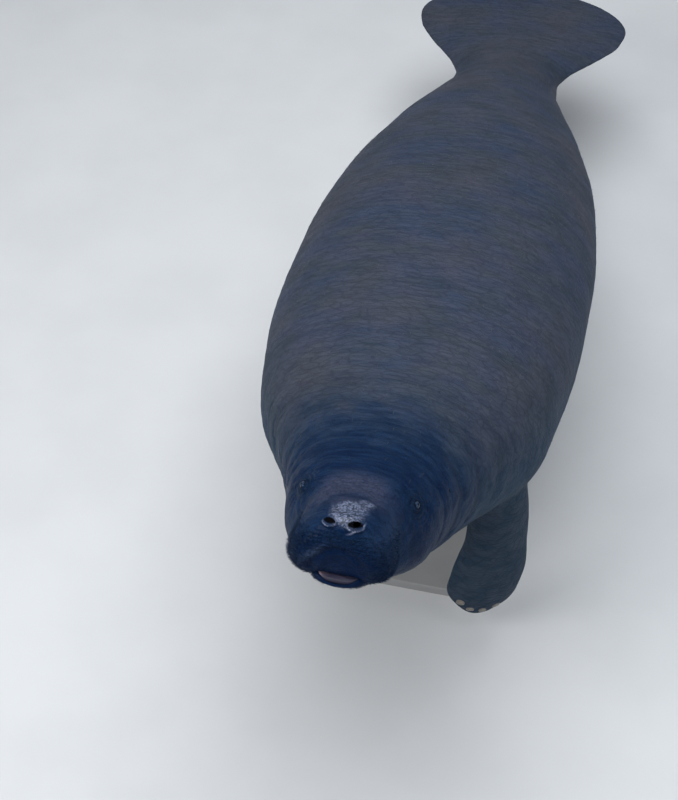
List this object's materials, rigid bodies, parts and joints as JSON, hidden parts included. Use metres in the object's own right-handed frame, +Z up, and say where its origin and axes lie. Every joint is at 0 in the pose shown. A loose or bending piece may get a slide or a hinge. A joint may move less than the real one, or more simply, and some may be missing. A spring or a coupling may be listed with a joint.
{
  "type": "manatee model",
  "caption": "Life-size manatee with a round bristly muzzle, paddle flippers and a broad flat tail, held nose up on short rods over a flat base.",
  "frame": {"origin": "middle of the base's underside, on the floor", "axes": "+Z up, the animal faces -Y, +X is its left side, +Y points to its tail"},
  "size_m": [0.712, 2.9246, 0.9994],
  "materials": {
    "skin": "wet satin, wrinkled",
    "mouth_lining": "wet satin",
    "eye": "gloss",
    "nail": "satin",
    "rod_steel": "brushed",
    "base_paint": "satin paint"
  },
  "bodies": {
    "root": {"muzzle": "skin", "head": "skin", "lower_jaw": "skin", "mouth_pad": "mouth_lining", "eye_left": "eye", "eye_right": "eye", "neck": "skin", "chest": "skin", "belly": "skin", "tail_stock": "skin", "tail_paddle": "skin", "flipper_left": "skin", "flipper_right": "skin", "nail_left_1": "nail", "nail_left_2": "nail", "nail_left_3": "nail", "nail_left_4": "nail", "nail_right_1": "nail", "nail_right_2": "nail", "nail_right_3": "nail", "nail_right_4": "nail", "stand_base": "base_paint", "stand_rod_front": "rod_steel", "stand_rod_rear": "rod_steel"}
  },
  "joints": []
}
